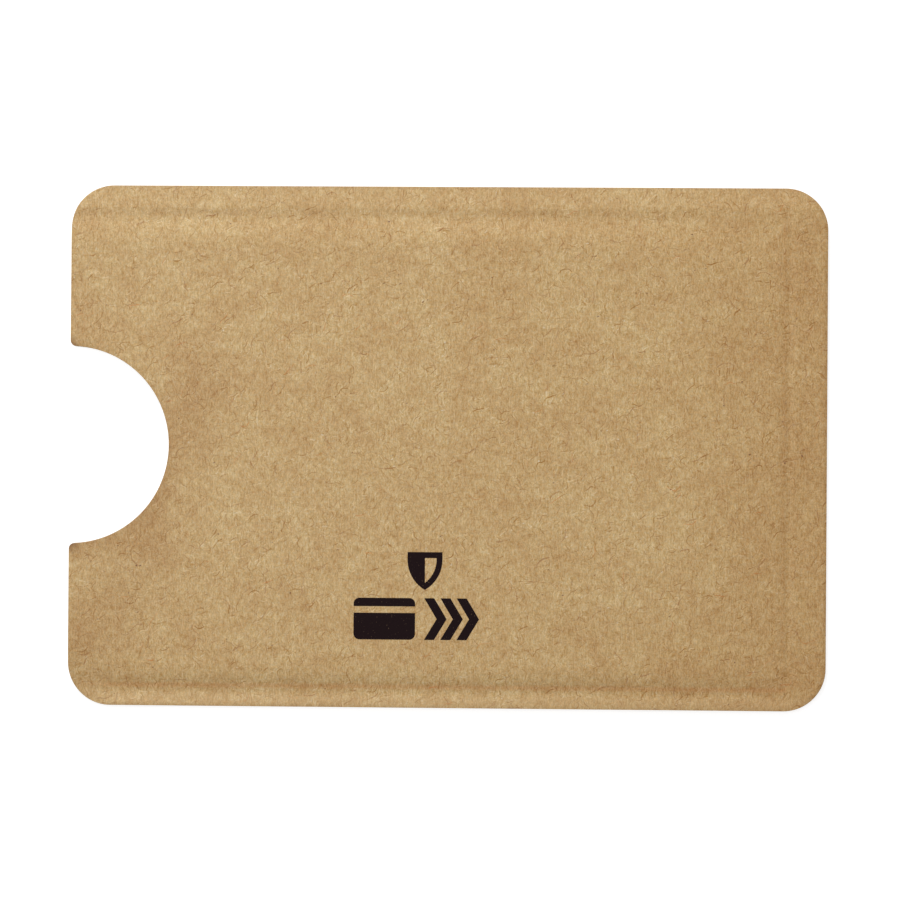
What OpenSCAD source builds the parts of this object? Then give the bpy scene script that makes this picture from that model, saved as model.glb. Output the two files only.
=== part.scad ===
// Card sleeve of kraft paper with a foil shield in each panel.
// It lies flat: +X is the long side with the mouth at -X, +Y is across the sleeve,
// +Z is up through the printed front panel. The origin is under the middle of the sleeve.
// The pocket stands open by the thickness of one card, as use has formed it.

/* [Card that the pocket is sized for] */
// Length of the card
card_length = 85.6; // [80:0.1:90]
// Width of the card
card_width = 54; // [48:0.1:60]
// Thickness of the card
card_t = 0.76; // [0.5:0.02:1.2]

/* [Clearances] */
// Room past the inner end of the card
end_clearance = 0.1; // [0:0.05:1]
// Room beside the card, on each long side
side_clearance = 0.25; // [0.05:0.05:2]
// Room through the pocket beyond the thickness of the card
thickness_clearance = 0.14; // [0.04:0.02:0.5]

/* [Seams] */
// Width of the glued seam along the upper long edge
seam_upper = 3.7; // [2:0.1:6]
// Width of the glued seam along the lower long edge
seam_lower = 2; // [1.5:0.1:6]
// Width of the glued seam at the closed end
seam_end = 4.7; // [2:0.1:8]
// Width of the slope that rises from each long seam to the pocket
side_slope = 1.3; // [0.6:0.1:3]
// Width of the slope that rises from the end seam to the pocket
end_slope = 0.8; // [0.4:0.1:3]

/* [Layers] */
// Thickness of each kraft paper sheet
kraft_t = 0.14; // [0.08:0.01:0.3]
// Thickness of each foil shield
foil_t = 0.02; // [0.01:0.005:0.05]
// Thickness of each inner liner
liner_t = 0.03; // [0.02:0.005:0.08]
// Thickness of the glue between the panels
glue_t = 0.04; // [0.02:0.01:0.1]

/* [Outline] */
// Radius of the four corners
corner_r = 5.1; // [1:0.1:8]

/* [Thumb notch] */
// Radius of the notch
notch_r = 11.9; // [6:0.1:16]
// How far inside the mouth edge the centre of the notch lies
notch_inset = 0.1; // [0:0.1:3]
// Radius that rounds the two lips of the notch
lip_r = 0.7; // [0.2:0.1:2]

/* [Printed mark] */
// Thickness of the ink
ink_t = 0.02; // [0.01:0.01:0.05]
// Distance from the mouth edge to the left end of the card sign
mark_from_mouth = 34.5; // [20:0.5:60]
// Distance from the top of the lower slope to the foot of the card sign
mark_above_slope = 4.9; // [1:0.1:20]
// Width of the card sign
sign_w = 7.4; // [5:0.1:12]
// Height of the card sign and the arrowheads beside it
sign_h = 5; // [3.5:0.1:8]
// Radius of the corners of the card sign
sign_corner_r = 0.7; // [0.2:0.1:1]
// Height of the bare stripe across the card sign
stripe_h = 0.8; // [0.3:0.1:1.2]
// Distance from the top of the card sign to the bare stripe
stripe_drop = 1; // [0.5:0.1:1.5]
// Number of arrowheads
arrow_count = 3; // [1:1:5]
// Distance from one arrowhead to the next
arrow_pitch = 1.95; // [1.7:0.05:4]
// Width of an arrowhead's stroke along X
arrow_stroke = 1.2; // [0.5:0.1:1.5]
// How far the point of an arrowhead stands forward of its ends
arrow_point = 1.5; // [0.8:0.1:3]
// Clear space between the signs
sign_space = 1.1; // [0.4:0.1:3]
// Width of the shield sign above
shield_w = 4.2; // [3:0.1:8]
// Height of the straight upper part of the shield sign
shield_shoulder = 0.9; // [0.3:0.1:3]
// Width of the shield sign's stroke
shield_stroke = 0.7; // [0.3:0.1:1]
// Distance from the middle of the row of signs to the middle of the shield, along X
shield_offset = 1; // [-4:0.1:4]
// Clear space between the card sign and the shield
shield_space = 1; // [0.5:0.1:3]

/* [Hidden] */

$fn = 96;
// facets across each slope
slope_steps = 8;
// how far a cutting shape runs past what it cuts
over = 1;

// the pocket at its full opening, between the slopes
pocket_length = card_length + end_clearance;
pocket_width = card_width + 2 * side_clearance;
pocket_gap = card_t + thickness_clearance;

// the flat outline
sleeve_length = pocket_length + end_slope + seam_end;
sleeve_width = seam_lower + side_slope + pocket_width + side_slope + seam_upper;
mouth_x = -sleeve_length / 2;
closed_x = sleeve_length / 2;
lower_y = -sleeve_width / 2;
upper_y = sleeve_width / 2;

// where the seams end and the slopes begin
end_foot_x = closed_x - seam_end;
lower_foot_y = lower_y + seam_lower;
upper_foot_y = upper_y - seam_upper;

// heights: the panels mirror each other about the middle plane
panel_t = kraft_t + foil_t + liner_t;
middle_z = pocket_gap / 2 + panel_t;
front_z = middle_z + pocket_gap / 2 + panel_t;

// the notch, and the circle that rounds its lip on the +Y side
notch_x = mouth_x + notch_inset;
lip_x = mouth_x + lip_r;
lip_y = sqrt(pow(notch_r + lip_r, 2) - pow(lip_r - notch_inset, 2));

// the signs
sign_x = mouth_x + mark_from_mouth;
sign_y = lower_foot_y + side_slope + mark_above_slope;
arrows_x = sign_x + sign_w + sign_space;
row_end_x = arrows_x + (arrow_count - 1) * arrow_pitch + arrow_stroke + arrow_point;
shield_x = (sign_x + row_end_x) / 2 + shield_offset;
shield_point_y = sign_y + sign_h + shield_space;
shield_shoulder_y = shield_point_y + shield_w * sin(60);
shield_top_y = shield_shoulder_y + shield_shoulder;

// Half of the opening at a share u of the way up a slope: a soft S from the glue to the pocket.
function half_opening(u) = (glue_t + (pocket_gap - glue_t) * u * u * (3 - 2 * u)) / 2;

// Points of one slope as [place, half opening], from place a (share ua) to place b (share ub).
function slope(a, b, ua, ub) = [
    for (i = [0 : slope_steps])
        let (s = i / slope_steps)
        [a + (b - a) * s, half_opening(ua + (ub - ua) * s)]
];

// Half of the opening along X, from the open mouth to the closed end.
long_profile = concat(
    [[mouth_x - over, half_opening(1)]],
    slope(end_foot_x - end_slope, end_foot_x, 1, 0),
    [[closed_x + over, half_opening(0)]]
);

// Half of the opening along Y, from the lower seam to the upper one.
cross_profile = concat(
    [[lower_y - over, half_opening(0)]],
    slope(lower_foot_y, lower_foot_y + side_slope, 0, 1),
    slope(upper_foot_y - side_slope, upper_foot_y, 1, 0),
    [[upper_y + over, half_opening(0)]]
);

// The area under a profile that is raised by `lift`, down to just past the middle plane.
module profile_area(profile, lift) {
    first = profile[0][0];
    last = profile[len(profile) - 1][0];
    polygon(concat(
        [[last, -over], [first, -over]],
        [for (p = profile) [p[0], p[1] + lift]]
    ));
}

// Everything above the middle plane and within `lift` of the pocket's inner face.
module within(lift) {
    intersection() {
        translate([0, upper_y + over, 0]) rotate([90, 0, 0])
            linear_extrude(sleeve_width + 2 * over) profile_area(long_profile, lift);
        translate([mouth_x - over, 0, 0]) rotate([90, 0, 90])
            linear_extrude(sleeve_length + 2 * over) profile_area(cross_profile, lift);
    }
}

// What rounding its four corners takes off a rectangle, which reaches from one point to another.
module rounding_waste(from, to, r) {
    centre = (from + to) / 2;
    for (sx = [-1, 1], sy = [-1, 1])
        translate(centre) scale([sx, sy]) translate((to - from) / 2 - [r, r]) difference() {
            square(r + over);
            circle(r);
        }
}

// The thumb notch with its rounded lips.
module notch_waste() {
    translate([notch_x, 0]) circle(notch_r);
    for (side = [-1, 1]) difference() {
        polygon([
            [mouth_x - over, 0], [notch_x, 0], [lip_x, side * lip_y],
            [mouth_x, side * lip_y], [mouth_x - over, side * lip_y],
        ]);
        translate([lip_x, side * lip_y]) circle(lip_r);
    }
}

// The outline that all sheets are cut to in one stroke.
module outline() {
    difference() {
        translate([mouth_x, lower_y]) square([sleeve_length, sleeve_width]);
        rounding_waste([mouth_x, lower_y], [closed_x, upper_y], corner_r);
        notch_waste();
    }
}

// One sheet of the front panel, `depth` away from the pocket's inner face and `t` thick.
module front_sheet(depth, t) {
    translate([0, 0, middle_z]) intersection() {
        linear_extrude(pocket_gap / 2 + panel_t + over) outline();
        difference() {
            within(depth + t);
            within(depth);
        }
    }
}

// The same sheet of the back panel.
module back_sheet(depth, t) {
    translate([0, 0, 2 * middle_z]) mirror([0, 0, 1]) front_sheet(depth, t);
}

// Glue between the panels, inside the outline and from one corner to the other.
module glue_strip(from, to) {
    translate([0, 0, middle_z - glue_t / 2]) linear_extrude(glue_t) intersection() {
        outline();
        translate(from) square(to - from);
    }
}

module front_kraft_sheet() {
    color("#BA9A6E") front_sheet(liner_t + foil_t, kraft_t);
}

module front_foil_shield() {
    color("#C4C7CA") front_sheet(liner_t, foil_t);
}

module front_inner_liner() {
    color("#E4E2DC") front_sheet(0, liner_t);
}

module back_kraft_sheet() {
    color("#B2926A") back_sheet(liner_t + foil_t, kraft_t);
}

module back_foil_shield() {
    color("#C4C7CA") back_sheet(liner_t, foil_t);
}

module back_inner_liner() {
    color("#E4E2DC") back_sheet(0, liner_t);
}

module upper_glue_strip() {
    color("#D9CFA8") glue_strip([mouth_x, upper_foot_y], [closed_x, upper_y]);
}

module lower_glue_strip() {
    color("#D9CFA8") glue_strip([mouth_x, lower_y], [closed_x, lower_foot_y]);
}

module end_glue_strip() {
    color("#D9CFA8") glue_strip([end_foot_x, lower_foot_y], [closed_x, upper_foot_y]);
}

// A card seen flat, with a bare stripe across it.
module card_sign() {
    difference() {
        square([sign_w, sign_h]);
        rounding_waste([0, 0], [sign_w, sign_h], sign_corner_r);
        translate([-over, sign_h - stripe_drop - stripe_h]) square([sign_w + 2 * over, stripe_h]);
    }
}

// One arrowhead that points into the sleeve.
module arrow_sign() {
    polygon([
        [0, 0], [arrow_stroke, 0], [arrow_stroke + arrow_point, sign_h / 2],
        [arrow_stroke, sign_h], [0, sign_h], [arrow_point, sign_h / 2],
    ]);
}

// The filled shape of a shield; its shoulders are level with the origin and it is drawn in by `inset`.
module shield_area(inset) {
    intersection() {
        translate([-shield_w / 2, 0]) circle(shield_w - inset);
        translate([shield_w / 2, 0]) circle(shield_w - inset);
        translate([-shield_w, -shield_w]) square([2 * shield_w, shield_w]);
    }
    translate([inset - shield_w / 2, -inset])
        square([shield_w - 2 * inset, shield_shoulder]);
}

// A shield in outline with its left half filled.
module shield_sign() {
    difference() {
        shield_area(0);
        intersection() {
            shield_area(shield_stroke);
            translate([0, -shield_w]) square([shield_w, 2 * shield_w]);
        }
    }
}

module printed_mark() {
    color("#1D1315") translate([0, 0, front_z]) linear_extrude(ink_t) {
        translate([sign_x, sign_y]) card_sign();
        for (i = [0 : arrow_count - 1])
            translate([arrows_x + i * arrow_pitch, sign_y]) arrow_sign();
        translate([shield_x, shield_shoulder_y]) shield_sign();
    }
}

front_kraft_sheet();
front_foil_shield();
front_inner_liner();
back_kraft_sheet();
back_foil_shield();
back_inner_liner();
upper_glue_strip();
lower_glue_strip();
end_glue_strip();
printed_mark();
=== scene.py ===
"""Kraft paper card sleeve with a foil shield in each panel, laid flat on a white table.

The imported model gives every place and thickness. This file adds the looks: each sheet of the two
panels as a fine mesh that follows one pressed relief, the printed mark, the papers' and foils'
finishes, and the studio.
"""

import math

import bmesh
import bpy
import numpy as np
from bpy.props import FloatProperty, FloatVectorProperty, IntProperty, PointerProperty
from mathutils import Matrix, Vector, noise
from mathutils.geometry import delaunay_2d_cdt


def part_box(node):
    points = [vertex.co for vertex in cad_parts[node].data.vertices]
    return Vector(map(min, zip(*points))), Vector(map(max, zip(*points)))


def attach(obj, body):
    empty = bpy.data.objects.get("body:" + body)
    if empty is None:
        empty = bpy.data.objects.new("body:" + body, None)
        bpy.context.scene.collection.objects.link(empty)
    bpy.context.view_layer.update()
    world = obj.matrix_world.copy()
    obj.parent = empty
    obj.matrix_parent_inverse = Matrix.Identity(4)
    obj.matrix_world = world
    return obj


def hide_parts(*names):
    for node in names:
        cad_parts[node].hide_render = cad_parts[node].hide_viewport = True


bl_info = {
    "name": "Kraft Card Sleeve",
    "version": (1, 0, 0),
    "blender": (4, 5, 0),
    "location": "View3D > Sidebar > Sleeve",
    "description": "Builds a foil-lined kraft paper card sleeve around its packed model",
    "category": "Object",
}

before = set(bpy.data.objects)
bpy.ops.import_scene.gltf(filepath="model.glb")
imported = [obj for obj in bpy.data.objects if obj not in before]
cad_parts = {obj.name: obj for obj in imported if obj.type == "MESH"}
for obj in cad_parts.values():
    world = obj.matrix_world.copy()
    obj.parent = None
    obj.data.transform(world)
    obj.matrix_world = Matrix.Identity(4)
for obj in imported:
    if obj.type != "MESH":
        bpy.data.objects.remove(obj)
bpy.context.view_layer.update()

MM = 0.001
X, Y = 0, 1
ABOVE, BELOW = 1, -1
FRONT, BACK = 1, -1


def linear(hex_colour):
    """The linear RGB of an sRGB colour written as #RRGGBB."""
    values = [int(hex_colour[i : i + 2], 16) / 255 for i in (1, 3, 5)]
    return tuple(v / 12.92 if v <= 0.04045 else ((v + 0.055) / 1.055) ** 2.4 for v in values)


def number(name, description, default, **options):
    """A property for a number from 0 up."""
    return FloatProperty(name=name, description=description, default=default, min=0, **options)


def length(name, description, default):
    """A property for a length in metres."""
    return number(name, description, default, unit="LENGTH", precision=5)


def share(name, description, default):
    """A property that seldom needs to leave the range from 0 to 1."""
    return number(name, description, default, soft_max=1)


def several(name, description, default, **options):
    """A property for several numbers of one kind."""
    return FloatVectorProperty(
        name=name, description=description, default=default, size=len(default), **options
    )


def lengths(name, description, *defaults):
    """A property for several lengths in metres."""
    return several(name, description, defaults, unit="LENGTH", precision=5)


def tint(name, description, colour):
    """A colour property whose default is an sRGB hex value."""
    return several(name, description, linear(colour), subtype="COLOR", min=0, max=1)


def spot(name, description, default):
    """A property for a place in metres."""
    return several(name, description, default, subtype="TRANSLATION")


class SleeveForm(bpy.types.PropertyGroup):
    """Sizes of the die-cut outline and of the relief pressed into the panels."""

    corner_radius: length("Corner radius", "Radius of the four corners", 5.1 * MM)
    notch_radius: length("Notch radius", "Radius of the thumb notch", 11.9 * MM)
    notch_inset: length("Notch inset", "How far inside the mouth edge the notch's centre lies", 0.1 * MM)
    lip_radius: length("Lip radius", "Radius that rounds the notch's two lips", 0.7 * MM)
    crease: length("Crease", "How far outside the glue's inner edge the panels begin to part", 0.3 * MM)
    low_slope: length("Lower slope", "Width of the slope beside the lower seam", 3.2 * MM)
    low_curl: length("Lower curl", "How far the lower seam springs up past its crease", 0.2 * MM)
    low_curl_width: length("Lower curl width", "Distance in which it would reach its full curl", 2.1 * MM)
    low_curl_start: length("Lower curl start", "How far outside the glue's inner edge it begins", 0.15 * MM)
    end_slope: length("End slope", "Width of the steep part of the slope beside the end seam", 1.8 * MM)
    end_ramp: length("End ramp", "Distance from the end seam to the fully open pocket", 14 * MM)
    end_step: share("End step", "Share of the opening that the steep part reaches", 0.5)
    end_curl: length("End curl", "How far the end seam springs up past its crease", 0.08 * MM)
    end_curl_width: length("End curl width", "Distance from that crease to the full curl", 0.95 * MM)
    top_slope: length("Upper slope", "Width of the slope beside the upper seam", 4.1 * MM)
    top_curl: length("Upper curl", "How far the upper seam springs up past its crease", 0.05 * MM)
    top_curl_width: length("Upper curl width", "Distance from that crease to the full curl", 1.1 * MM)
    top_droop: length("Upper droop", "How far the upper seam droops from that ridge to its edge", 0.24 * MM)
    mouth_fade: length("Mouth fade", "How far from the mouth the lower crease is at its full depth", 7 * MM)
    end_fade: length("End fade", "How far from the closed end the upper crease begins to fade", 34 * MM)
    ripple: length("Ripple", "How far the seams wave up and down along their length", 0.03 * MM)
    sag: length("Sag", "How far the front panel dips over the open pocket", 0.09 * MM)
    arch: length("Arch", "How far the back panel lifts off the table over the open pocket", 0.04 * MM)
    cut_round: length("Cut rounding", "How far the die rolls the kraft paper's edge over", 0.025 * MM)
    cut_width: length("Cut width", "Width of the rolled band along the cut", 0.14 * MM)


class KraftPaper(bpy.types.PropertyGroup):
    """Colours and fibre sizes of the unbleached kraft paper."""

    pulp: tint("Pulp", "Colour of the raised pulp", "#CFB07E")
    shade: tint("Shade", "Colour of the pulp between the fibres", "#A98347")
    pale: tint("Pale fibre", "Colour of the bleached fibres", "#E0C59A")
    brown: tint("Brown fibre", "Colour of the unbleached fibres", "#92610F")
    dark: tint("Dark fibre", "Colour of the bark fibres", "#854800")
    rust: tint("Rust fibre", "Colour of the few resinous fibres", "#B97431")
    speck: tint("Speck", "Colour of the specks of bark", "#5C2A08")
    fleck: tint("Fleck", "Colour of the flecks of filler", "#E2D3B8")
    # painted shade: this tint darkens the slopes beside the seams
    pressed: tint("Pressed line", "What the sealing bar leaves of the colour along its edge", "#FFF1E7")
    # painted shade: this tint darkens the paper along the bend past the notch and round the notch's lower
    # half
    bend_and_notch_shade_tint: tint("Thumbed paper", "What thumbs leave of the colour beside the notch", "#EDE3D8")
    # painted shade: this tint darkens the paper along the cut edges
    edge_shade_tint: tint("Worn edge", "What handling leaves of the colour along the cut edges", "#EFEBE5")
    rubbed: tint("Rubbed lips", "What rubbing leaves of the colour at the notch's two lips", "#B6A080")
    # painted shade: this tint darkens the paper towards the closed end, where the light falls off
    end_shade_tint: tint("Toned end", "What the closed end's glue leaves of the colour", "#F3EAE0")
    felt_width: length("Felt width", "Width of the fine fibres that make up the pulp", 0.16 * MM)
    felt_length: length("Felt length", "Length of the fine fibres that make up the pulp", 0.9 * MM)
    floc: length("Floc", "Size of the tufts in the pulp", 2.6 * MM)
    drift: length("Drift", "How far the fibres stray from their line", 0.6 * MM)
    drift_size: length("Drift size", "Size of the swirls in which they stray", 1.25 * MM)
    tooth: length("Tooth", "Depth of the paper's tooth", 0.012 * MM)
    tooth_size: length("Tooth size", "Distance from one bump of the tooth to the next", 0.25 * MM)
    roll_shift: length("Roll shift", "How far along the roll the back sheet was cut", 140 * MM)


class PaperMarks(bpy.types.PropertyGroup):
    """Strength and reach of the shade and sheen painted on the kraft paper, and of the wear at the notch's
    lips.
    """

    # painted shade on the slopes beside the lower, end and upper seam: strength, place and reach
    seam_shade_strength: several("Press", "Strength of the bar's line at the lower, end and upper seam", (1.1, 0.3, 0.1))
    seam_shade_out: lengths("Press offset", "How far outside the glue each lies", -0.5 * MM, -0.5 * MM, 0.4 * MM)
    seam_shade_reach: lengths("Press reach", "How far from its middle each fades", 0.5 * MM, 0.4 * MM, 0.6 * MM)
    # painted sheen on the lower and the upper border, laid on as a paler colour
    border_sheen: several("Polish", "Strength of the bar's polish on the lower and the upper border", (0.8, 0.25))
    border_sheen_out: lengths("Polish start", "How far outside the glue each begins", 0.2 * MM, 0.8 * MM)
    border_sheen_reach: length("Polish reach", "Distance from there to the full polish", 0.8 * MM)
    paling: share("Paling", "How far a full polish pales the paper", 0.13)
    # painted shade along the cut edges, deeper along the lower edge and the notch's rim
    edge_reach: length("Edge reach", "How far in from the cut edges the paper has darkened", 0.5 * MM)
    edge_fade: length("Edge fade", "How far from the mouth the edges are fully dark", 5 * MM)
    low_edge_shade: share("Lower wear", "Strength of the wear along the lower edge", 0.85)
    low_edge_shade_reach: length("Lower wear reach", "How far in from the lower edge it fades out", 1.9 * MM)
    low_edge_shade_fade: length("Lower wear fade", "How far from the mouth it is at its strength", 60 * MM)
    notch_rim_shade: share("Rim wear", "Strength of the wear along the notch", 0.9)
    rim_reach: length("Rim reach", "How far from the notch's rim that wear fades out", 0.7 * MM)
    high_lip: share("Upper lip", "Wear of the notch's upper lip, as a share of the lower one's", 0.8)
    lip_reach: length("Lip reach", "How far from the notch's lips their wear fades out", 1.1 * MM)
    # painted shade along the bend past the notch and round the notch's lower half
    bend_shade_strength: share("Bend wear", "Strength of the thumbs' mark where the paper bends", 0.75)
    bend_reach: length("Bend reach", "How far from the bend that mark fades out", 6.5 * MM)
    notch_side_shade: share("Thumb wear", "Strength of the thumbs' mark at the notch's rim", 0.55)
    notch_side_reach: length("Thumb reach", "How far from the rim that mark fades out", 3 * MM)
    # painted shade towards the closed end
    end_shade_reach: length("Toned reach", "How far inside the end seam the closed end's tone begins", 16 * MM)


class PrintedInk(bpy.types.PropertyGroup):
    """Colour of the ink and the sizes of the signs printed with it."""

    ink: tint("Ink", "Colour of the black ink on kraft paper", "#1A0E10")
    bare: tint("Bare fibre", "Colour of the fibres that stand through the ink", "#8A7256")
    sign_width: length("Card sign width", "Width of the card sign", 7.4 * MM)
    sign_corner: length("Card sign corner", "Radius of the card sign's corners", 0.7 * MM)
    stripe_height: length("Stripe height", "Height of the bare stripe across the card sign", 0.8 * MM)
    stripe_drop: length("Stripe drop", "Distance from the card sign's top to its stripe", 1.0 * MM)
    arrow_count: IntProperty(name="Arrowheads", description="Number of arrowheads", default=3, min=1)
    arrow_pitch: length("Arrow pitch", "Distance from one arrowhead to the next", 1.95 * MM)
    arrow_stroke: length("Arrow stroke", "Width of an arrowhead's stroke", 1.2 * MM)
    arrow_point: length("Arrow point", "How far an arrowhead's point stands forward", 1.5 * MM)
    sign_height: length("Sign height", "Height of the card sign and the arrowheads", 5.0 * MM)
    shield_width: length("Shield width", "Width of the shield sign", 4.2 * MM)
    shield_shoulder: length("Shield shoulder", "Height of the shield's straight upper part", 0.9 * MM)
    shield_stroke: length("Shield stroke", "Width of the shield's outline", 0.7 * MM)
    shield_offset: length("Shield offset", "How far right of the row's middle the shield stands", 1.0 * MM)


class InnerLayers(bpy.types.PropertyGroup):
    """Colours of the layers under the kraft paper."""

    foil: tint("Foil", "Colour of the rolled aluminium foil", "#C9CBCE")
    liner: tint("Liner", "Colour of the polyethylene liner", "#E6E3DB")
    glue: tint("Glue", "Colour of the dried hot-melt glue", "#D8CDA6")


class StudioStage(bpy.types.PropertyGroup):
    """The table, the lights and the camera."""

    table: tint("Table", "Colour of the white table", "#F4F4F4")
    table_lift: number("Table lift", "How bright the lit table looks to the camera", 2.2)
    table_glow: share("Table glow", "How much of the table the camera sees as plain white", 0.75)
    lens: number("Lens", "Focal length of the camera", 120, unit="CAMERA")
    camera_place: spot("Camera place", "Where the camera stands", (10.96 * MM, -4.40 * MM, 361.2 * MM))
    camera_turn: several(
        "Camera turn",
        "How the camera leans off straight down",
        tuple(math.radians(lean) for lean in (0.676, 1.701, 0.431)),
        subtype="EULER",
    )
    sky_level: share("Sky level", "Strength of the white room", 0.42)
    key_power: number("Key power", "Power of the soft box at the top", 4.8, unit="POWER")
    key_place: spot("Key place", "Where the soft box at the top hangs", (-0.2, 0.67, 0.4))
    key_size: length("Key size", "Side of the soft box at the top", 0.3)
    fill_power: number("Fill power", "Power of the soft box overhead", 0.09, unit="POWER")
    fill_place: spot("Fill place", "Where the soft box overhead hangs", (-0.075, 0.02, 0.26))
    fill_size: length("Fill size", "Side of the soft box overhead", 0.1)


def ease(t):
    """A soft step from 0 to 1 while t goes from 0 to 1."""
    t = np.clip(t, 0, 1)
    return t * t * (3 - 2 * t)


def bell(t):
    """A soft bump: 1 at 0 and 0 from -1 down and from 1 up."""
    return ease(1 - np.abs(t))


def shoulder(t):
    """A rise from 0 to 1 while t goes from 0 to 1, steepest near its foot, like paper at a crease."""
    t, steep = np.clip(t, 0, 1), 0.3
    return np.where(t < steep, t * t / steep, 1 - (1 - t) ** 2 / (1 - steep))


def ripples(x, y, size, seed):
    """Gentle waves from 0 to 1 with swells of about the given size, for arrays of places."""
    heights = [noise.noise(Vector((a / size, b / size, seed))) for a, b in zip(x, y)]
    return np.clip(np.array(heights) + 0.5, 0, 1)


def away(x, y, line):
    """Distance of each place from an open line through the given points."""
    nearest = np.full(len(x), np.inf)
    for (ax, ay), (bx, by) in zip(line, line[1:]):
        run, rise = bx - ax, by - ay
        t = np.clip(((x - ax) * run + (y - ay) * rise) / (run * run + rise * rise), 0, 1)
        nearest = np.minimum(nearest, np.hypot(x - ax - t * run, y - ay - t * rise))
    return nearest


# the line past the notch along which the shade of the paper's bend is painted: millimetres from the mouth
# and from the middle
BEND = ((15.6, 9), (13.6, 0), (11, -9), (7, -16), (0, -27))


class Sleeve:
    """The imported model's places and thicknesses, the relief of all sheets, and the paper's marks."""

    def __init__(self, scene):
        self.form, self.marks = scene.sleeve_form, scene.sleeve_marks
        (self.left, self.bottom, _), (self.right, self.top, roof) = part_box("front_kraft_sheet")
        self.end_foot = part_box("end_glue_strip")[0].x
        self.low_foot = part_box("lower_glue_strip")[1].y
        self.high_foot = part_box("upper_glue_strip")[0].y
        glue_low, glue_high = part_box("end_glue_strip")
        self.glue = glue_high.z - glue_low.z
        self.middle = (glue_low.z + glue_high.z) / 2
        liner_low, liner_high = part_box("front_inner_liner")
        foil_low, foil_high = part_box("front_foil_shield")
        self.liner = foil_low.z - liner_low.z
        self.foil = foil_high.z - liner_high.z
        self.kraft = roof - foil_high.z
        self.gap = 2 * (liner_high.z - self.liner - self.middle)

    def fades(self, x):
        """How slack the lower seam is near the mouth and the upper one near the closed end: 0 to 1."""
        f = self.form
        low = 1 - ease((x - self.left) / f.mouth_fade)
        high = ease((x - self.right + f.end_fade) / f.end_fade)
        return low, high

    def openness(self, x, y):
        """1 where the pocket is fully open, 0 in the seams."""
        f = self.form
        slack_low, slack_high = self.fades(x)
        inside = self.end_foot + f.crease - x
        end = f.end_step * shoulder(inside / f.end_slope) + (1 - f.end_step) * ease(inside / f.end_ramp)
        low = shoulder((y - self.low_foot + f.crease) / (f.low_slope * (1 + slack_low)))
        high = shoulder((self.high_foot + f.crease - y) / (f.top_slope * (1 + slack_high)))
        return end * low * high

    def seam_lift(self, x, y):
        """How far the two glued panels spring up together past the crease of a seam."""
        f = self.form
        slack_low, slack_high = self.fades(x)
        end = ease((x - self.end_foot) / f.end_curl_width)
        low = ease((self.low_foot - f.low_curl_start - y) / f.low_curl_width)
        high = ease((y - self.high_foot) / f.top_curl_width)
        curls = (f.end_curl * end, f.low_curl * low * (1 - slack_low), f.top_curl * high * (1 - slack_high))
        spring = np.maximum.reduce(curls)
        ridge = self.high_foot + f.top_curl_width
        droop = f.top_droop * np.clip((y - ridge) / (self.top - ridge), 0, 1)
        wave = 2 * ripples(x, y, 11 * MM, seed=4.2) - 1
        return spring - droop + f.ripple * wave * (1 - (1 - end) * (1 - low) * (1 - high))

    def seam_shade(self, x, y):
        """How strongly shade is painted on the slopes beside the three seams."""
        m = self.marks
        slack_low, slack_high = self.fades(x)
        outside = (self.low_foot - y, x - self.end_foot, y - self.high_foot)
        low, end, high = (
            strength * bell((distance - out) / reach)
            for distance, strength, out, reach in zip(outside, m.seam_shade_strength, m.seam_shade_out, m.seam_shade_reach)
        )
        low = low * (1 - slack_low) * (x < self.end_foot)
        end = end * (y > self.low_foot) * (y < self.high_foot)
        return np.maximum.reduce((low, end, high * (1 - slack_high)))

    def border_sheen(self, x, y):
        """How much sheen is painted, as a paler colour, on the two long borders."""
        m = self.marks
        low = m.border_sheen[0] * ease((self.low_foot - m.border_sheen_out[0] - y) / m.border_sheen_reach)
        high = m.border_sheen[1] * ease((y - self.high_foot - m.border_sheen_out[1]) / m.border_sheen_reach)
        return low + high

    def past_rim(self, x, y):
        """Distance from the notch's rim, positive on the paper."""
        return np.hypot(x - self.left, y) - self.form.notch_radius

    def edge_shade(self, x, y):
        """How far shade is painted on the paper along its cut edges, all but the mouth's."""
        m, r = self.marks, self.form.corner_radius
        from_mouth = x - self.left
        across = np.maximum(self.bottom + r - y, y - self.top + r)
        along = x - self.right + r
        corner = np.hypot(np.maximum(along, 0), np.maximum(across, 0))
        inside = r - corner - np.minimum(np.maximum(along, across), 0)
        edge = ease(1 - inside / m.edge_reach) * ease(from_mouth / m.edge_fade)
        low = m.low_edge_shade * ease(from_mouth / m.low_edge_shade_fade)
        low = low * ease(1 - (y - self.bottom) / m.low_edge_shade_reach)
        below = ease(0.7 - y / self.form.notch_radius)
        notch = m.notch_rim_shade * bell(self.past_rim(x, y) / m.rim_reach) * below
        return np.maximum.reduce((edge, low, notch))

    def tip_wear(self, x, y):
        """How far rubbing has browned the two lips of the notch."""
        f, m = self.form, self.marks
        right_of_tip = x - self.left - f.lip_radius / 2
        above_tip = np.abs(y) - f.notch_radius - f.lip_radius / 2
        return bell(np.hypot(right_of_tip, above_tip) / m.lip_reach) * np.where(y < 0, 1.0, m.high_lip)

    def bend_and_notch_shade(self, x, y):
        """How far shade is painted along the paper's bend past the notch, and round the lower half of the
        notch.
        """
        m = self.marks
        bend = [(self.left + from_mouth * MM, up * MM) for from_mouth, up in BEND]
        patchy = 0.5 + ripples(x, y, 5 * MM, seed=2.6)
        bent = m.bend_shade_strength * patchy * bell(away(x, y, bend) / m.bend_reach)
        below = ease(-1.6 * y / self.form.notch_radius)
        notch_side = m.notch_side_shade * bell(self.past_rim(x, y) / m.notch_side_reach) * below
        return bent + notch_side

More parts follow.
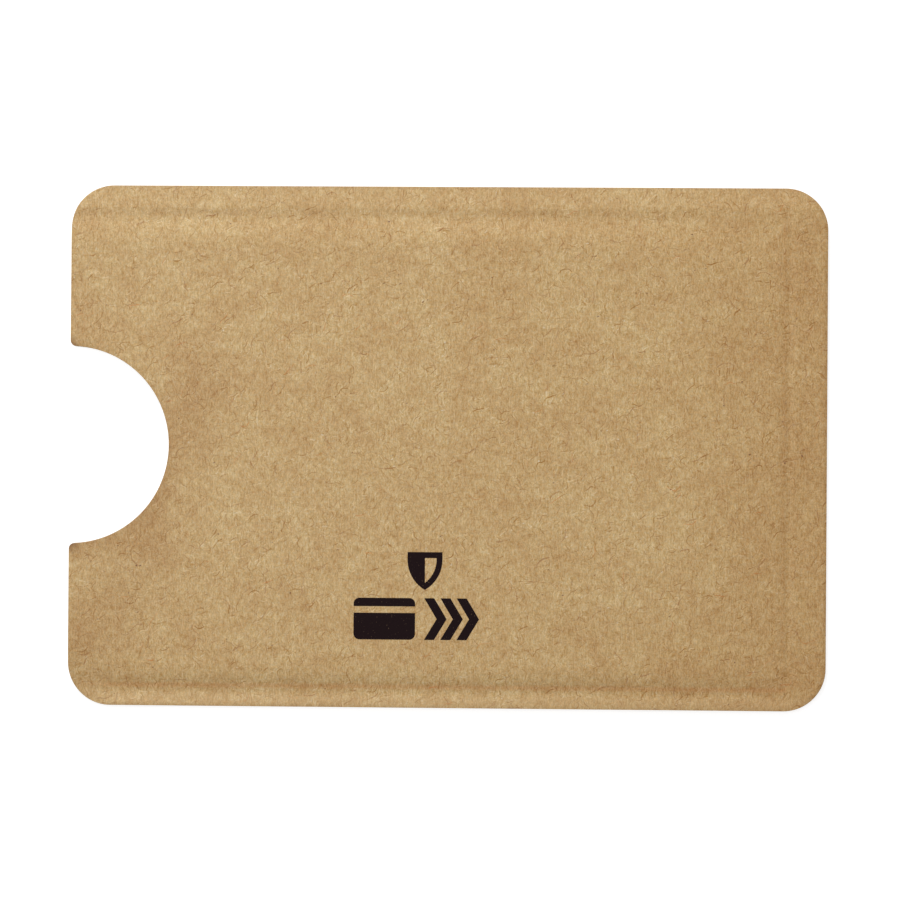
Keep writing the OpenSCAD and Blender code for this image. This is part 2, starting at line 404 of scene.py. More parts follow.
    def height(self, side, depth, x, y):
        """Height of a surface at a depth behind the pocket's inner face, on the FRONT or BACK side."""
        f = self.form
        u = self.openness(x, y)
        half = (self.glue + (self.gap - self.glue) * u) / 2
        if side == FRONT:
            belly = -f.sag * ripples(x, y, 24 * MM, seed=1.7)
        else:
            belly = f.arch * ripples(x, y, 30 * MM, seed=8.3)
        return self.middle + side * (half + depth) + self.seam_lift(x, y) + belly * u


def arc(centre, radius, start, stop, step=3.0):
    """Points along a circle from one angle to another, in degrees, the first but not the last."""
    count = max(2, round(abs(stop - start) / step))
    angles = [math.radians(start + (stop - start) * i / count) for i in range(count)]
    return [(centre[0] + radius * math.cos(a), centre[1] + radius * math.sin(a)) for a in angles]


def split(loop, lines):
    """The loop with its level and upright edges split at the grid lines that cross them."""
    straight, closest = 1e-9, 0.04 * MM
    made = []
    for a, b in zip(loop, loop[1:] + loop[:1]):
        made.append(a)
        for axis in (X, Y):
            if abs(a[1 - axis] - b[1 - axis]) < straight:
                low, high = sorted((a[axis], b[axis]))
                cuts = [v for v in lines[axis] if low + closest < v < high - closest]
                if b[axis] < a[axis]:
                    cuts.reverse()
                made += [(v, a[Y]) if axis == X else (a[X], v) for v in cuts]
    return made


def clip(loop, axis, bound, side):
    """The part of a loop that lies on one side, ABOVE or BELOW, of a bound along the X or Y axis."""
    kept = []
    for a, b in zip(loop, loop[1:] + loop[:1]):
        from_a, from_b = side * (a[axis] - bound), side * (b[axis] - bound)
        if from_a >= 0:
            kept.append(a)
        if from_a * from_b < 0:
            t = from_a / (from_a - from_b)
            kept.append(tuple(p + t * (q - p) for p, q in zip(a, b)))
    return kept


def graded(stops):
    """Grid lines through (place, spacing) stops, each spacing holding up to the next stop."""
    lines = []
    for (place, spacing), (after, _) in zip(stops, stops[1:]):
        count = max(1, round((after - place) / spacing))
        lines += [place + (after - place) * i / count for i in range(count)]
    return lines + [stops[-1][0]]


def grid_lines(s):
    """Grid lines along X and Y: close together over slopes and creases, wide over the flat pocket."""
    f = s.form
    fine, edging, wide, mouth_band = 0.11 * MM, 0.45 * MM, 1.5 * MM, 2 * MM
    xs = graded([
        (s.left, edging), (s.left + mouth_band, wide),
        (s.end_foot + f.crease - f.end_slope, fine),
        (s.end_foot + f.end_curl_width, edging), (s.right, 0),
    ])
    ys = graded([
        (s.bottom, fine), (s.low_foot - f.crease + f.low_slope, wide),
        (s.high_foot + f.crease - f.top_slope, fine),
        (s.high_foot + f.top_curl_width, edging), (s.top, 0),
    ])
    return xs, ys


def sleeve_outline(s):
    """The die-cut outline, anticlockwise from the lower left corner."""
    f = s.form
    r, lip = f.corner_radius, f.lip_radius
    notch_x = s.left + f.notch_inset
    middle_y = (s.bottom + s.top) / 2
    lip_x = s.left + lip
    lip_y = math.sqrt((f.notch_radius + lip) ** 2 - (lip_x - notch_x) ** 2)
    turn = math.degrees(math.atan2(lip_y, lip_x - notch_x))
    return (
        [(s.left + r, s.bottom)]
        + arc((s.right - r, s.bottom + r), r, -90, 0)
        + [(s.right, s.bottom + r)]
        + arc((s.right - r, s.top - r), r, 0, 90)
        + [(s.right - r, s.top)]
        + arc((s.left + r, s.top - r), r, 90, 180)
        + [(s.left, s.top - r)]
        + arc((lip_x, middle_y + lip_y), lip, 180, 180 + turn, step=10)
        + arc((notch_x, middle_y), f.notch_radius, turn, -turn)
        + arc((lip_x, middle_y - lip_y), lip, 180 - turn, 180, step=10)
        + [(s.left, middle_y - lip_y)]
        + arc((s.left + r, s.bottom + r), r, 180, 270)
    )


def mark_loops(look, low, high):
    """The loops of each sign: the card's band and block, the arrowheads, and the half-open shield."""
    width, tall, r = look.sign_width, look.sign_height, look.sign_corner
    top = low.y + tall
    band = top - look.stripe_drop
    block = band - look.stripe_height
    left, right = low.x, low.x + width
    signs = [
        [[(left, band), (right, band)]
         + arc((right - r, top - r), r, 0, 90, step=9) + [(right - r, top)]
         + arc((left + r, top - r), r, 90, 180, step=9) + [(left, top - r)]],
        [arc((left + r, low.y + r), r, 180, 270, step=9) + [(left + r, low.y)]
         + arc((right - r, low.y + r), r, -90, 0, step=9) + [(right, low.y + r)]
         + [(right, block), (left, block)]],
    ]
    stroke, point = look.arrow_stroke, look.arrow_point
    first = high.x - (look.arrow_count - 1) * look.arrow_pitch - stroke - point
    for i in range(look.arrow_count):
        x = first + i * look.arrow_pitch
        mid = low.y + tall / 2
        signs.append([[
            (x, low.y), (x + stroke, low.y), (x + stroke + point, mid),
            (x + stroke, top), (x, top), (x + point, mid),
        ]])
    wide, line, rise = look.shield_width, look.shield_stroke, look.shield_shoulder
    x = (low.x + high.x) / 2 + look.shield_offset
    y = high.y - rise
    slant = math.degrees(math.acos(wide / 2 / (wide - line)))
    outer = (
        arc((x - wide / 2, y), wide, -60, 0)
        + [(x + wide / 2, y), (x + wide / 2, high.y), (x - wide / 2, high.y)]
        + arc((x + wide / 2, y), wide, 180, 240)
    )
    inner = arc((x - wide / 2, y), wide - line, -slant, 0) + [
        (x + wide / 2 - line, y), (x + wide / 2 - line, high.y - line), (x, high.y - line)
    ]
    return signs + [[outer, inner]]


def inward(loop, distance):
    """The loop moved inwards by a distance; the loop runs anticlockwise."""
    p = np.array(loop)
    along = np.roll(p, -1, axis=0) - np.roll(p, 1, axis=0)
    along /= np.linalg.norm(along, axis=1)[:, None]
    return [tuple(v) for v in p + distance * np.stack([-along[:, 1], along[:, 0]], axis=1)]


def within(points, loops):
    """Which points lie inside the loops, by counting the edges to the right of each."""
    odd = np.zeros(len(points), bool)
    px, py = points[:, 0], points[:, 1]
    for loop in loops:
        for (ax, ay), (bx, by) in zip(loop, loop[1:] + loop[:1]):
            if ay != by:
                crosses = (ay > py) != (by > py)
                odd ^= crosses & (px < (bx - ax) * (py - ay) / (by - ay) + ax)
    return odd


def plan(loops, xs, ys, ring=0.0):
    """A flat triangle mesh of the area in the loops, with grid points inside: points, triangles and rims.

    With a ring, a copy of the first loop stands that far inside it, to hold the rolled band of the cut.
    """
    margin, weld = 0.1 * MM, 1e-6
    points = [p for loop in loops for p in loop]
    chains, start = [], 0
    for loop in loops:
        chains.append(list(range(start, start + len(loop))))
        start += len(loop)
    rims = list(chains)
    if ring:
        chains.append(list(range(start, start + len(loops[0]))))
        points += inward(loops[0], ring)
    edges = [(a, b) for chain in chains for a, b in zip(chain, chain[1:] + chain[:1])]
    grid = np.array([(x, y) for x in xs for y in ys])
    grid = grid[within(grid, loops)]
    border = np.array(points)
    clear = np.array([np.min(np.sum((border - g) ** 2, axis=1)) for g in grid]) ** 0.5
    points += [tuple(g) for g in grid[clear > ring + margin]]
    scaled = [Vector((x / MM, y / MM)) for x, y in points]
    made, _, faces, origins, _, _ = delaunay_2d_cdt(scaled, edges, [], 0, weld)
    place = {source: i for i, sources in enumerate(origins) for source in sources}
    points = np.array([tuple(v) for v in made]) * MM
    faces = np.array(faces)
    faces = faces[within(points[faces].mean(axis=1), loops)]
    a, b, c = (points[faces[:, i]] for i in range(3))
    clockwise = (b - a)[:, 0] * (c - a)[:, 1] < (b - a)[:, 1] * (c - a)[:, 0]
    faces[clockwise] = faces[clockwise][:, ::-1]
    return points, faces, [[place[i] for i in rim] for rim in rims]


def merged(plans):
    """Several flat plans as one."""
    points, faces, rims, start = [], [], [], 0
    for some_points, some_faces, some_rims in plans:
        points.append(some_points)
        faces.append(some_faces + start)
        rims += [[i + start for i in rim] for rim in some_rims]
        start += len(some_points)
    return np.concatenate(points), np.concatenate(faces), rims


def sleeve_plan(s, ring=0.0):
    """The flat plan of a whole sheet."""
    lines = grid_lines(s)
    return plan([split(sleeve_outline(s), lines)], *lines, ring=ring)


def slab(name, flat, lower, upper, node, material, marks=None):
    """A closed mesh between two height arrays over a flat plan. It stands for a node and wears its slot.

    Marks hold a value for each point of the plan, under the name by which the material reads them.
    """
    points, faces, rims = flat
    count = len(points)
    mesh = bpy.data.meshes.new(name)
    verts = np.concatenate([np.column_stack([points, lower]), np.column_stack([points, upper])])
    polygons = [tuple(t) for t in faces + count] + [tuple(t[::-1]) for t in faces]
    for rim in rims:
        for a, b in zip(rim, rim[1:] + rim[:1]):
            polygons.append((a, b, b + count, a + count))
    mesh.from_pydata(verts.tolist(), [], polygons)
    soften(mesh, sharp=math.radians(40))
    for mark, values in (marks or {}).items():
        mesh.attributes.new(mark, "FLOAT", "POINT").data.foreach_set("value", np.tile(values, 2))
    piece = bpy.data.objects.new(name, mesh)
    bpy.context.collection.objects.link(piece)
    mesh.materials.append(material)
    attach(piece, "root")
    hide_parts(node)


def soften(mesh, sharp):
    """Joins the triangles into quads where they lie flat, and shades smooth but for edges over an angle."""
    work = bmesh.new()
    work.from_mesh(mesh)
    bmesh.ops.join_triangles(
        work,
        faces=work.faces,
        angle_face_threshold=math.radians(10),
        angle_shape_threshold=math.radians(30),
    )
    for face in work.faces:
        face.smooth = True
    for side in work.edges:
        side.smooth = side.calc_face_angle(0) < sharp
    work.to_mesh(mesh)
    work.free()


def inner_layer(s, name, node, near, far, material):
    """Makes one layer in both panels, between two depths behind the pocket's inner faces."""
    flat = sleeve_plan(s)
    x, y = flat[0].T
    low, high = (s.height(FRONT, depth, x, y) for depth in (near, far))
    slab(f"front_{name}", flat, low, high, f"front_{node}", material)
    low, high = (s.height(BACK, depth, x, y) for depth in (far, near))
    slab(f"back_{name}", flat, low, high, f"back_{node}", material)


def add(tree, kind, inputs=None, **settings):
    """Adds a shader node, sets its options and fills its inputs with numbers, colours, sockets or nodes.

    A node given for an input stands for the first of its outputs that is in use.
    """
    made = tree.nodes.new("ShaderNode" + kind)
    for name, value in settings.items():
        setattr(made, name, value)
    for key, value in (inputs or {}).items():
        if isinstance(value, bpy.types.Node):
            value = next(output for output in value.outputs if output.enabled)
        if isinstance(value, bpy.types.NodeSocket):
            tree.links.new(value, made.inputs[key])
        else:
            made.inputs[key].default_value = value
    return made


def new_material(name):
    """An empty node material and its tree."""
    material = bpy.data.materials.new(name)
    material.use_nodes = True
    material.node_tree.nodes.clear()
    return material, material.node_tree


def rgba(colour):
    """A colour with full alpha."""
    return (*colour[:3], 1.0)


def strands(tree, where, cell, long, wide, bend, amount):
    """A mask of curved strands, one at most in each cell of a random pattern. Sizes are in millimetres.

    Each cell turns, bends, shortens and fades its strand at random, and amount is the share of cells
    that keep one.
    """
    cells = add(tree, "TexVoronoi", {"Vector": where, "Scale": 1 / cell}, voronoi_dimensions="2D")
    centre = cells.outputs["Position"]
    chance = add(tree, "TexWhiteNoise", {"Vector": centre}, noise_dimensions="2D")
    roll = add(tree, "SeparateColor", {"Color": chance.outputs["Color"]})
    local = add(tree, "VectorMath", {0: where, 1: centre}, operation="SUBTRACT")
    turn = add(tree, "Math", {0: roll.outputs["Red"], 1: math.tau}, operation="MULTIPLY")
    turned = add(tree, "VectorRotate", {"Vector": local, "Angle": turn}, rotation_type="Z_AXIS")
    place = add(tree, "SeparateXYZ", {"Vector": turned})
    along, aside = place.outputs["X"], place.outputs["Y"]
    square = add(tree, "Math", {0: along, 1: along}, operation="MULTIPLY")
    most = bend / long
    curve = add(tree, "MapRange", {"Value": roll.outputs["Green"], "To Min": -most, "To Max": most})
    across = add(tree, "Math", {0: square, 1: curve, 2: aside}, operation="MULTIPLY_ADD")
    half = add(
        tree, "MapRange", {"Value": roll.outputs["Blue"], "To Min": 0.2 * long, "To Max": 0.5 * long}
    )
    reach = add(tree, "Math", {0: along}, operation="ABSOLUTE")
    past = add(tree, "Math", {0: reach, 1: half}, operation="SUBTRACT")
    beyond = add(tree, "Math", {0: past, 1: 0.0}, operation="MAXIMUM")
    off = add(tree, "CombineXYZ", {"X": beyond, "Y": across})
    distance = add(tree, "VectorMath", {0: off}, operation="LENGTH")
    line = add(
        tree,
        "MapRange",
        {"Value": distance, "From Min": wide / 2, "From Max": wide / 8},
        interpolation_type="SMOOTHSTEP",
    )
    least = 1 - amount
    weight = add(tree, "MapRange", {"Value": chance, "From Min": least, "To Min": 0.4})
    kept = add(tree, "Math", {0: chance, 1: least}, operation="GREATER_THAN")
    faded = add(tree, "Math", {0: line, 1: weight}, operation="MULTIPLY")
    return add(tree, "Math", {0: faded, 1: kept}, operation="MULTIPLY")


def felt(tree, where, turn, wide, long):
    """Fine fibres that lie at an angle in degrees from X: noise drawn out along them. Sizes are in mm."""
    laid = add(
        tree,
        "Mapping",
        {"Vector": where, "Rotation": (0, 0, math.radians(turn)), "Scale": (long, wide, 1)},
        vector_type="TEXTURE",
    )
    return add(
        tree,
        "TexNoise",
        {"Vector": laid, "Scale": 1.0, "Detail": 1.0, "Roughness": 0.6},
        noise_dimensions="2D",
    )


def pulp(tree, drifted, look):
    """The ground of the paper: a felt of fine fibres, most of them laid along Y, where the web ran."""
    wide, long = look.felt_width / MM, look.felt_length / MM
    mat = 0.0
    for turn, weight in ((90, 0.34), (62, 0.25), (120, 0.25), (12, 0.19), (162, 0.19)):
        laid = felt(tree, drifted, turn, wide, long)
        mat = add(tree, "Math", {0: laid, 1: weight, 2: mat}, operation="MULTIPLY_ADD")
    tone = add(tree, "MapRange", {"Value": mat, "From Min": 0.455, "From Max": 0.765})
    colours = {"A": rgba(look.shade), "B": rgba(look.pulp)}
    return add(tree, "Mix", {"Factor": tone, **colours}, data_type="RGBA")


def loose_fibres(tree, surface, sheet, drifted, look):
    """Lays longer fibres, specks and flecks over the pulp, most strongly where its tufts are thick."""
    tufts = add(
        tree,
        "TexNoise",
        {"Vector": sheet, "Scale": MM / look.floc, "Detail": 2.0, "Roughness": 0.6},
        noise_dimensions="2D",
    )
    thick = add(
        tree,
        "MapRange",
        {"Value": tufts, "From Min": 0.36, "From Max": 0.66, "To Min": 0.35, "To Max": 1.3},
    )
    # a colour and its strength, then the strands' cell, length, width and bend in mm and their share
    for colour, strength, strand in (
        (look.pale, 0.58, (0.7, 0.9, 0.12, 0.5, 0.7)),
        (look.brown, 0.70, (0.9, 1.1, 0.12, 0.9, 0.65)),
        (look.brown, 0.85, (1.5, 1.6, 0.16, 1.2, 0.6)),
        (look.dark, 0.52, (2.1, 2.2, 0.19, 1.4, 0.6)),
        (look.rust, 0.75, (3.1, 1.7, 0.14, 1.2, 0.3)),
        (look.speck, 0.90, (2.3, 0.1, 0.2, 0.0, 0.25)),
        (look.fleck, 0.50, (1.9, 0.15, 0.2, 0.0, 0.25)),
    ):
        mask = strands(tree, drifted, *strand)
        amount = add(tree, "Math", {0: mask, 1: strength}, operation="MULTIPLY")
        amount = add(tree, "Math", {0: amount, 1: thick}, operation="MULTIPLY")
        surface = add(tree, "Mix", {"Factor": amount, "A": surface, "B": rgba(colour)}, data_type="RGBA")
    glaze = felt(tree, sheet, 90, wide=0.13, long=2.2)
    streaks = add(tree, "MapRange", {"Value": glaze, "From Min": 0.55, "From Max": 0.8, "To Max": 0.3})
    return add(tree, "Mix", {"Factor": streaks, "A": surface, "B": rgba(look.pale)}, data_type="RGBA")


def clouded(tree, surface, sheet):
    """Makes the paper a little lighter and darker in soft patches, from fine grain to wide clouds."""
    # the patches' size in mm, the noise's detail, and how far red, green and blue swing with it
    for size, detail, swing in (
        (0.25, 1.0, (0.2, 0.0, -0.36)),
        (0.45455, 1.0, (0.09, 0.0, -0.2)),
        (1.25, 3.0, (0.25, 0.42, 0.63)),
        (5.0, 2.0, (0.2, 0.34, 0.5)),
        (20.0, 1.0, (0.13, 0.22, 0.33)),
    ):
        cloud = add(
            tree,
            "TexNoise",
            {"Vector": sheet, "Scale": 1 / size, "Detail": detail, "Roughness": 0.6},
            noise_dimensions="2D",
        )
        around = add(tree, "Math", {0: cloud, 1: 0.5}, operation="SUBTRACT")
        gain = add(tree, "VectorMath", {0: around, 1: swing, 2: (1, 1, 1)}, operation="MULTIPLY_ADD")
        surface = add(tree, "VectorMath", {0: surface, 1: gain}, operation="MULTIPLY")
    return surface


def marked(tree, surface, place, look, s):
    """Adds the painted sheen, the painted shade and the lips' wear, whose places the mesh carries as
    attributes, and painted shade at the closed end.
    """
    # painted sheen: the two long borders are mixed towards the pale fibres' colour
    border_sheen = add(tree, "Attribute", attribute_name="border_sheen").outputs["Fac"]
    paler = add(tree, "Math", {0: border_sheen, 1: s.marks.paling}, operation="MULTIPLY")
    surface = add(tree, "Mix", {"Factor": paler, "A": surface, "B": rgba(look.pale)}, data_type="RGBA")
    shade_and_wear_tints = {
        "seam_shade": look.pressed,
        "bend_and_notch_shade": look.bend_and_notch_shade_tint,
        "edge_shade": look.edge_shade_tint,
        "tip_wear": look.rubbed,
    }
    masks = [add(tree, "Attribute", attribute_name=name).outputs["Fac"] for name in shade_and_wear_tints]
    # painted shade: the paper darkens towards the closed end, where the light falls off
    along = add(tree, "SeparateXYZ", {"Vector": place}).outputs["X"]
    start = s.end_foot - s.marks.end_shade_reach
    masks.append(add(
        tree,
        "MapRange",
        {"Value": along, "From Min": start, "From Max": s.right},
        interpolation_type="SMOOTHSTEP",
    ))
    # multiplies in the painted shade beside the seams, along the bend, along the cut edges and towards the
    # closed end, and the lips' wear
    for mask, colour in zip(masks, (*shade_and_wear_tints.values(), look.end_shade_tint)):
        surface = add(
            tree,
            "Mix",
            {"Factor": mask, "A": surface, "B": rgba(colour)},
            data_type="RGBA",
            blend_type="MULTIPLY",
        )
    return surface


def kraft_paper(name, look, shift, s):
    """Unbleached kraft paper, glazed on its outer face by the machine: warm brown, with a very low gloss.

    A felt of fine fibres shows in it, with darker and paler strands that curl through it, a few resinous
    ones and specks of bark. The shift moves the sheet along the roll, so that the two panels differ.
    """
    material, tree = new_material(name)
    place = add(tree, "TexCoord").outputs["Object"]
    sheet = add(
        tree,
        "Mapping",
        {"Vector": place, "Location": (shift / MM, shift / MM, 0), "Scale": (1 / MM,) * 3},
    )
    swirl = add(
        tree,
        "TexNoise",
        {"Vector": sheet, "Scale": MM / look.drift_size, "Detail": 1.0},
        noise_dimensions="2D",
    )
    stray = look.drift / MM
    drifted = add(
        tree,
        "VectorMath",
        {0: swirl.outputs["Color"], 1: (stray, stray, 0), 2: sheet},
        operation="MULTIPLY_ADD",
    )
    surface = pulp(tree, drifted, look)
    surface = loose_fibres(tree, surface, sheet, drifted, look)
    surface = clouded(tree, surface, sheet)
    surface = marked(tree, surface, place, look, s)
    grit = add(
        tree,
        "TexNoise",
        {"Vector": sheet, "Scale": MM / look.tooth_size, "Detail": 2.0},
        noise_dimensions="2D",
    )
    bump = add(tree, "Bump", {"Height": grit, "Distance": look.tooth})
    paper = add(
        tree, "BsdfPrincipled", {"Base Color": surface, "Roughness": 0.5, "IOR": 1.5, "Normal": bump}
    )
    add(tree, "OutputMaterial", {"Surface": paper})
    return material


def plain_layer(name, colour, roughness, metallic):
    """A thin layer with the faint clouds of a rolled or spread surface, seen at the cut edges."""
    material, tree = new_material(name)
    place = add(tree, "TexCoord").outputs["Object"]
    patch, spread = 2 * MM, 0.08
    rolled = add(tree, "TexNoise", {"Vector": place, "Scale": 1 / patch, "Detail": 3.0})
    gloss = add(
        tree, "MapRange", {"Value": rolled, "To Min": roughness - spread, "To Max": roughness + spread}
    )
    tone = add(tree, "MapRange", {"Value": rolled, "To Min": 0.94, "To Max": 1.02})
    shade = add(tree, "VectorMath", {0: tuple(colour), 1: tone}, operation="MULTIPLY")
    layer = add(tree, "BsdfPrincipled", {"Base Color": shade, "Roughness": gloss, "Metallic": metallic})
    add(tree, "OutputMaterial", {"Surface": layer})
    return material


def black_ink(look):
    """Black offset ink, sunk into the paper: nearly matt, with pinholes where fibres stand through it."""
    material, tree = new_material("black_ink")
    place = add(tree, "TexCoord").outputs["Object"]
    pinhole, relief = 0.2 * MM, 0.01 * MM
    sheet = add(tree, "Mapping", {"Vector": place, "Scale": (1 / pinhole,) * 3})
    fibres = add(
        tree,
        "TexNoise",
        {"Vector": sheet, "Scale": 1.0, "Detail": 2.0, "Roughness": 0.6},
        noise_dimensions="2D",
    )
    bare = add(tree, "MapRange", {"Value": fibres, "From Min": 0.72, "From Max": 0.84})
    colours = {"A": rgba(look.ink), "B": rgba(look.bare)}
    surface = add(tree, "Mix", {"Factor": bare, **colours}, data_type="RGBA")
    bump = add(tree, "Bump", {"Height": fibres, "Distance": relief})
    ink = add(
        tree,
        "BsdfPrincipled",
        {"Base Color": surface, "Roughness": 0.8, "Specular IOR Level": 0.08, "Normal": bump},
    )
    add(tree, "OutputMaterial", {"Surface": ink})
    return material


class SLEEVE_OT_kraft_sheets(bpy.types.Operator):
    """Make the front and back kraft paper sheets"""

    bl_idname = "sleeve.kraft_sheets"
    bl_label = "Kraft sheets"

    def execute(self, context):
        s = Sleeve(context.scene)
        look = context.scene.sleeve_kraft
        flat = sleeve_plan(s, s.form.cut_width)
        points, _, rims = flat
        x, y = points.T
        near, far = s.liner + s.foil, s.liner + s.foil + s.kraft
        roll = np.zeros(len(x))
        roll[rims[0]] = s.form.cut_round
        front = kraft_paper("kraft_paper_front", look, 0, s)
        back = kraft_paper("kraft_paper_back", look, look.roll_shift, s)
        # the painted shade and sheen, and the lips' wear, that the material reads
        marks = {
            "seam_shade": s.seam_shade(x, y),
            "bend_and_notch_shade": s.bend_and_notch_shade(x, y),
            "edge_shade": s.edge_shade(x, y),
            "tip_wear": s.tip_wear(x, y),
            "border_sheen": s.border_sheen(x, y),
        }
        low, high = s.height(FRONT, near, x, y), s.height(FRONT, far, x, y) - roll
        slab("front_kraft", flat, low, high, "front_kraft_sheet", front, marks)
        low, high = s.height(BACK, far, x, y) + roll, s.height(BACK, near, x, y)
        slab("back_kraft", flat, low, high, "back_kraft_sheet", back, marks)
        return {"FINISHED"}


class SLEEVE_OT_foil_shields(bpy.types.Operator):
    """Make the aluminium foil shields behind the kraft sheets"""

    bl_idname = "sleeve.foil_shields"
    bl_label = "Foil shields"

    def execute(self, context):
        s = Sleeve(context.scene)
        colour = context.scene.sleeve_layers.foil
        foil = plain_layer("aluminium_foil", colour, roughness=0.35, metallic=1.0)
        inner_layer(s, "foil", "foil_shield", s.liner, s.liner + s.foil, foil)
        return {"FINISHED"}


class SLEEVE_OT_inner_liners(bpy.types.Operator):
    """Make the liners that face the card"""

    bl_idname = "sleeve.inner_liners"
    bl_label = "Inner liners"

    def execute(self, context):
        s = Sleeve(context.scene)
        colour = context.scene.sleeve_layers.liner
        film = plain_layer("polyethylene_film", colour, roughness=0.4, metallic=0.0)
        inner_layer(s, "liner", "inner_liner", 0, s.liner, film)
        return {"FINISHED"}


class SLEEVE_OT_glue_strips(bpy.types.Operator):
    """Make the glue in the three seams"""

    bl_idname = "sleeve.glue_strips"
    bl_label = "Glue strips"

    def execute(self, context):
        s = Sleeve(context.scene)
        colour = context.scene.sleeve_layers.glue
        glue = plain_layer("hot_melt_glue", colour, roughness=0.35, metallic=0.0)
        lines = grid_lines(s)
        whole = sleeve_outline(s)
        between = clip(clip(whole, Y, s.low_foot, ABOVE), Y, s.high_foot, BELOW)
        strips = {
            "upper_glue": clip(whole, Y, s.high_foot, ABOVE),
            "lower_glue": clip(whole, Y, s.low_foot, BELOW),
            "end_glue": clip(between, X, s.end_foot, ABOVE),
        }
        for name, loop in strips.items():
            flat = plan([split(loop, lines)], *lines)
            x, y = flat[0].T
            slab(name, flat, s.height(BACK, 0, x, y), s.height(FRONT, 0, x, y), f"{name}_strip", glue)
        return {"FINISHED"}


class SLEEVE_OT_printed_mark(bpy.types.Operator):
    """Print the card sign, the arrowheads and the shield on the front panel"""

    bl_idname = "sleeve.printed_mark"
    bl_label = "Printed mark"

    def execute(self, context):
        s = Sleeve(context.scene)
        look = context.scene.sleeve_ink
        low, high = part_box("printed_mark")
        thick = high.z - low.z
        skin = s.liner + s.foil + s.kraft
        signs = mark_loops(look, low, high)
        ink = black_ink(look)
        spacing = 0.8 * MM
        xs = graded([(low.x, spacing), (high.x, 0)])
        ys = graded([(low.y, spacing), (high.y, 0)])
        plans = [plan([split(loop, (xs, ys)) for loop in loops], xs, ys) for loops in signs]
        flat = merged(plans)
        x, y = flat[0].T
        surface = s.height(FRONT, skin, x, y)
        slab("printed_mark_ink", flat, surface, surface + thick, "printed_mark", ink)
        return {"FINISHED"}


def soft_box(name, place, power, size):
    """A square soft box that faces the sleeve."""
    lamp = bpy.data.lights.new(name, "AREA")
    lamp.energy = power
    lamp.size = size
    box = bpy.data.objects.new(name, lamp)
    box.location = place
    box.rotation_euler = (-Vector(place)).to_track_quat("-Z", "Y").to_euler()
    box.visible_camera = False
    bpy.context.collection.objects.link(box)


def seen_rays(tree):
    """1 for the rays that show a background: from the camera, and those that gloss and glass send on."""
    path = add(tree, "LightPath")
    seen = path.outputs["Is Camera Ray"]
    for kind in ("Is Glossy Ray", "Is Transmission Ray"):
        seen = add(tree, "Math", {0: seen, 1: path.outputs[kind]}, operation="MAXIMUM")
    return seen


def white_table(stage):
    """Matt white table top. What shows it sees it as white, with a faint shadow under the sleeve."""
    material, tree = new_material("white_table_top")
    seen = seen_rays(tree)
    colours = {"A": rgba(stage.table), "B": rgba((stage.table_lift,) * 3)}
    tone = add(tree, "Mix", {"Factor": seen, **colours}, data_type="RGBA")
    matt = add(tree, "BsdfDiffuse", {"Color": tone})
    white = add(tree, "Emission", {"Color": (1, 1, 1, 1), "Strength": 1.0})
    glow = add(tree, "Math", {0: seen, 1: stage.table_glow}, operation="MULTIPLY")
    both = add(tree, "MixShader", {0: glow, 1: matt, 2: white})
    add(tree, "OutputMaterial", {"Surface": both})
    return material


def white_room(scene, stage):
    """An even white room; the camera sees it as white, and it lights at its own level."""
    scene.world = bpy.data.worlds.new("white_room")
    scene.world.use_nodes = True
    tree = scene.world.node_tree
    tree.nodes.clear()
    seen = seen_rays(tree)
    level = add(tree, "MapRange", {"Value": seen, "To Min": stage.sky_level, "To Max": 1.0})
    light = add(tree, "Background", {"Color": (1, 1, 1, 1), "Strength": level})
    add(tree, "OutputWorld", {"Surface": light})


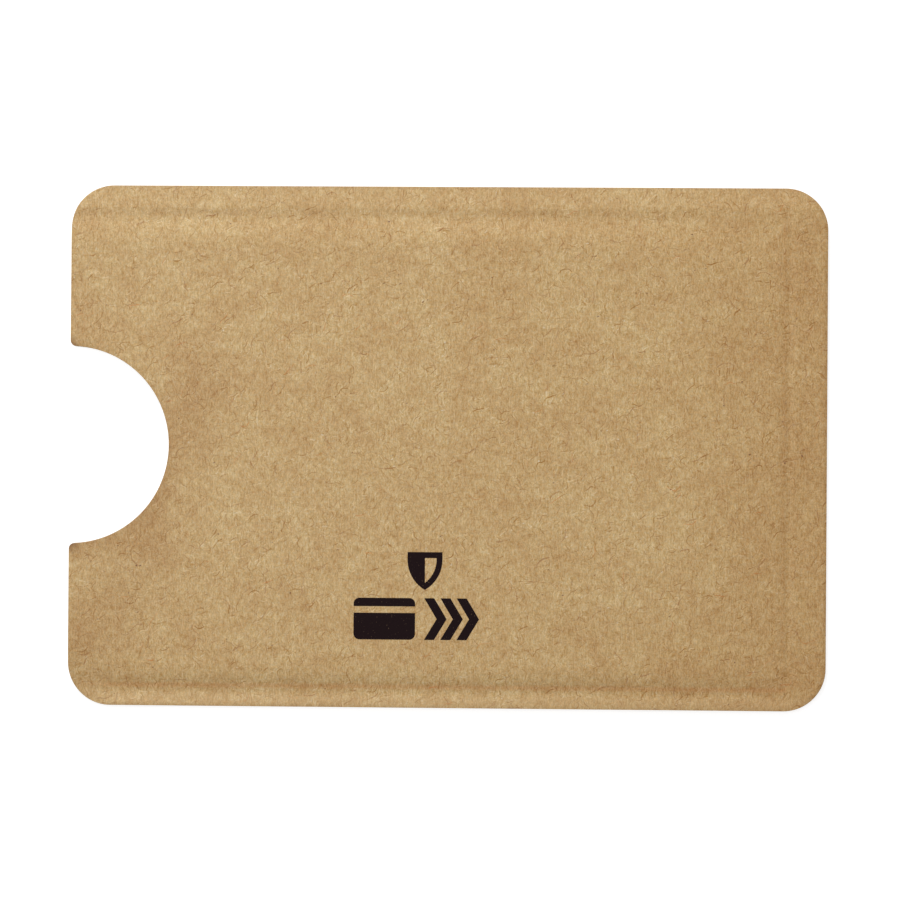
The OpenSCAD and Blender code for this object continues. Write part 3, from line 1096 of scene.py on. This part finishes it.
class SLEEVE_OT_stage(bpy.types.Operator):
    """Make the white table, the room's light, the soft boxes and the camera"""

    bl_idname = "sleeve.stage"
    bl_label = "Stage"

    def execute(self, context):
        stage = context.scene.sleeve_stage
        mesh = bpy.data.meshes.new("table")
        half = 1.0
        corners = [(-half, -half, 0), (half, -half, 0), (half, half, 0), (-half, half, 0)]
        mesh.from_pydata(corners, [], [(0, 1, 2, 3)])
        table = bpy.data.objects.new("table", mesh)
        context.collection.objects.link(table)
        mesh.materials.append(white_table(stage))
        white_room(context.scene, stage)
        soft_box("key_light", stage.key_place, stage.key_power, stage.key_size)
        soft_box("fill_light", stage.fill_place, stage.fill_power, stage.fill_size)
        lens = bpy.data.cameras.new("camera")
        lens.lens = stage.lens
        camera = bpy.data.objects.new("camera", lens)
        camera.location = stage.camera_place
        camera.rotation_euler = stage.camera_turn
        context.collection.objects.link(camera)
        context.scene.camera = camera
        context.scene.view_settings.view_transform = "Standard"
        return {"FINISHED"}


class SLEEVE_PT_panel(bpy.types.Panel):
    """Lists the sleeve's pieces and their settings"""

    bl_idname = "SLEEVE_PT_panel"
    bl_label = "Card sleeve"
    bl_space_type = "VIEW_3D"
    bl_region_type = "UI"
    bl_category = "Sleeve"

    def draw(self, context):
        for step in STEPS:
            self.layout.operator(step.bl_idname)
        for name in SETTINGS:
            group = getattr(context.scene, name)
            box = self.layout.box()
            for key in group.__annotations__:
                box.prop(group, key)


SETTINGS = {
    "sleeve_form": SleeveForm,
    "sleeve_kraft": KraftPaper,
    "sleeve_marks": PaperMarks,
    "sleeve_ink": PrintedInk,
    "sleeve_layers": InnerLayers,
    "sleeve_stage": StudioStage,
}
STEPS = (
    SLEEVE_OT_kraft_sheets,
    SLEEVE_OT_foil_shields,
    SLEEVE_OT_inner_liners,
    SLEEVE_OT_glue_strips,
    SLEEVE_OT_printed_mark,
    SLEEVE_OT_stage,
)


def register():
    for name, group in SETTINGS.items():
        bpy.utils.register_class(group)
        setattr(bpy.types.Scene, name, PointerProperty(type=group))
    for step in STEPS:
        bpy.utils.register_class(step)
    bpy.utils.register_class(SLEEVE_PT_panel)


def unregister():
    bpy.utils.unregister_class(SLEEVE_PT_panel)
    for step in reversed(STEPS):
        bpy.utils.unregister_class(step)
    for name, group in reversed(SETTINGS.items()):
        delattr(bpy.types.Scene, name)
        bpy.utils.unregister_class(group)


def main():
    """Builds everything in order."""
    register()
    bpy.ops.sleeve.kraft_sheets()
    bpy.ops.sleeve.foil_shields()
    bpy.ops.sleeve.inner_liners()
    bpy.ops.sleeve.glue_strips()
    bpy.ops.sleeve.printed_mark()
    bpy.ops.sleeve.stage()


if __name__ == "__main__":
    main()
